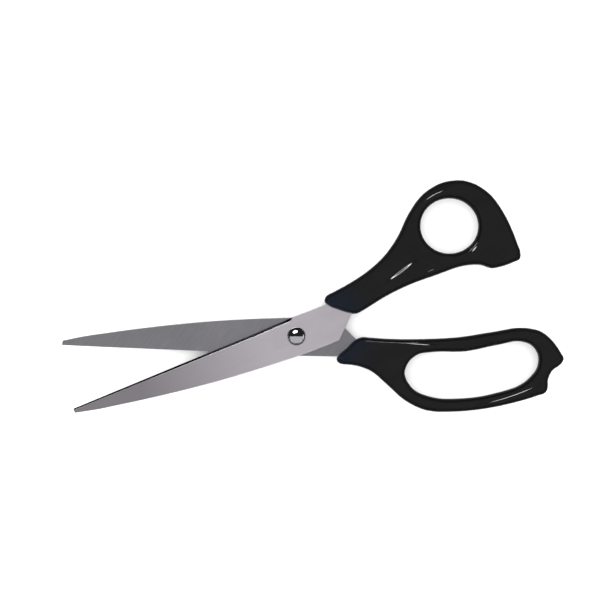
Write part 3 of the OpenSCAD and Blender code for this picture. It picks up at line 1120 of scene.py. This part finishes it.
def low_cards(name, receivers, strength):
    """Four cards round the horizon, below the edges of the overhead card."""
    for number in range(4):
        azimuth = 45.0 + 90.0 * number
        sky_card(f"{name}_{number}", receivers, 80.0, azimuth, tall=20.0, wide=90.0, strength=strength)


def make_stage():
    """A plain pale floor, just under the shears."""
    corners = [(-1, -1), (1, -1), (1, 1), (-1, 1)]
    points = [(x * FLOOR_HALF, y * FLOOR_HALF, FLOOR_Z) for x, y in corners]
    mesh = bpy.data.meshes.new("floor")
    mesh.from_pydata(points, [], [(0, 1, 2, 3)])
    shader = Shader("floor_paint")
    shader.set(Roughness=0.9, Specular_IOR_Level=0.0)
    shader.set(Base_Color=FLOOR_COLOUR)
    mesh.materials.append(shader.material)
    floor = bpy.data.objects.new("floor", mesh)
    bpy.context.scene.collection.objects.link(floor)
    floor.visible_glossy = False


def make_sky():
    """A dim surround, and a soft sky that is never reflected."""
    world = bpy.data.worlds.new("studio")
    world.use_nodes = True
    world.node_tree.nodes["Background"].inputs["Color"].default_value = SURROUND
    world.node_tree.nodes["Background"].inputs["Strength"].default_value = 1.0
    bpy.context.scene.world = world

    soft = bpy.data.lights.new("soft_sky", "SUN")
    soft.energy = SKY_ENERGY
    soft.angle = math.radians(SKY_ANGLE)
    sky = bpy.data.objects.new("soft_sky", soft)
    sky.visible_glossy = False
    bpy.context.scene.collection.objects.link(sky)


def steel_cards(pieces):
    """An even tone for the faces, and narrow bright cards for the edges and the spines."""
    flat_card("steel_overhead_card", pieces, near_edge=HORIZON_EDGE, strength=0.53)
    low_cards("steel_low_card", pieces, strength=0.53)
    sky_card("edge_card", pieces, 80.0, 110.0, tall=16.0, wide=22.0, strength=4.5)
    sky_card("spine_card", pieces, 62.0, 292.0, tall=20.0, wide=22.0, strength=2.5)


def pivot_cards(pieces):
    """The dome reflects a light lower half, a bright round window above and a strip on the right."""
    flat_card("pivot_overhead_card", pieces, near_edge=0.8, strength=0.62)
    for azimuth in (225.0, 315.0):
        name = f"pivot_low_card_{azimuth:.0f}"
        sky_card(name, pieces, 75.5, azimuth, tall=9.0, wide=90.0, strength=0.35)
    sky_card("window_card", pieces, 50.0, 105.0, tall=26.0, wide=42.0, strength=9.0, corners=12)
    sky_card("strip_card", pieces, 71.0, 0.0, tall=5.0, wide=30.0, strength=1.6)


def handle_cards(pieces):
    """A faint sheen on the plastic, and a strong card that draws the thin highlights."""
    flat_card("handle_sky_card", pieces, near_edge=HORIZON_EDGE, strength=0.42)
    flat_card("handle_overhead_card", pieces, near_edge=4.2, strength=0.36)
    low_cards("handle_low_card", pieces, strength=0.5)
    flat_card("handle_under_card", pieces, near_edge=HORIZON_EDGE, strength=0.2, above=False)
    sky_card("streak_card", pieces, 25.0, 112.0, tall=10.0, wide=60.0, strength=62.0)


def make_camera():
    """A long lens far above the shears."""
    data = bpy.data.cameras.new("camera")
    data.lens = LENS
    data.sensor_width = SENSOR
    data.clip_start = 0.05
    data.clip_end = 60.0
    camera = bpy.data.objects.new("camera", data)
    camera.location = CAMERA_ABOVE + Vector((0, 0, CAMERA_DISTANCE))
    bpy.context.scene.collection.objects.link(camera)
    bpy.context.scene.camera = camera


# ---- the build

# Shallow dishes (below zero, ridges) in the handles: both ends, bend, half width, depth and taper.
THUMB_DISHES = [
    ((52.6, -13.1), (66.7, -18.0), 0.0, 0.75, 0.37, 2),
    ((80.9, -44.4), (93.4, -46.7), -0.9, 0.30, 0.082, 4),
    ((96.1, -13.6), (99.5, -15.7), 0.0, 0.42, 0.125, 4),
    ((70.4, -10.6), (77.2, -11.3), 0.0, 0.30, 0.080, 4),
]
FINGER_DISHES = [
    ((54.0, -5.5), (68.0, -7.0), 0.0, 0.26, -0.074, 4),
    ((88.9, -37.2), (120.6, -27.9), -1.1, 0.30, 0.096, 4),
]

# Boxes, low and high corners, where the crest of a handle's rim stays soft and catches the light.
THUMB_SOFT_CREST = ((68.0, -12.5), (77.0, -8.0))
FINGER_SOFT_CREST = ((35.0, -6.5), (57.0, 0.0))

make_camera()
make_stage()
bpy.context.scene.view_settings.view_transform = "Standard"

front = Half("front_blade", True)
rear = Half("rear_blade", False)
plastic = moulded_plastic("black_moulded_plastic")
chrome = polished_steel("pivot_chrome", CHROME, 0.07)
turned = polished_steel("turned_steel", TURNED, 0.28)
# The bevel's steel is painted near black: painted shade for the dark reflection on it.
bevel_painted_shade = polished_steel("ground_bevel_painted_shade", BEVEL_PAINTED_SHADE, 0.16)

steel_pieces = []
for half, body, hole in ((front, "thumb_half", FRONT_HOLE), (rear, "finger_half", REAR_HOLE)):
    outer = brushed_steel(half.blade + "_outer", half.angle, STEEL_PAINTED_SHADE, STEEL_PAINTED_LIGHT, 0.30, 0.0, 0.16)
    inner = brushed_steel(half.blade + "_inner", half.angle, INNER_PAINTED_SHADE, INNER_PAINTED_LIGHT, 0.36, 0.9, 0.55)
    steel_pieces.append(make_blade(half, body, [outer, inner, bevel_painted_shade], hole))

handle_pieces = [
    make_handle(front, "thumb_handle", "thumb_half", plastic, THUMB_DISHES, THUMB_SOFT_CREST),
    make_handle(rear, "finger_handle", "finger_half", plastic, FINGER_DISHES, FINGER_SOFT_CREST),
]

pivot_pieces = [
    make_nut(chrome),
    make_washer("front_washer", FRONT_WASHER_HOLE, 0.3, "thumb_half", chrome),
    make_washer("rear_washer", REAR_WASHER_HOLE, 0.2, "finger_half", turned),
    make_spring(turned),
    make_screw(turned),
]
make_sky()
steel_cards(steel_pieces)
pivot_cards(pivot_pieces)
handle_cards(handle_pieces)
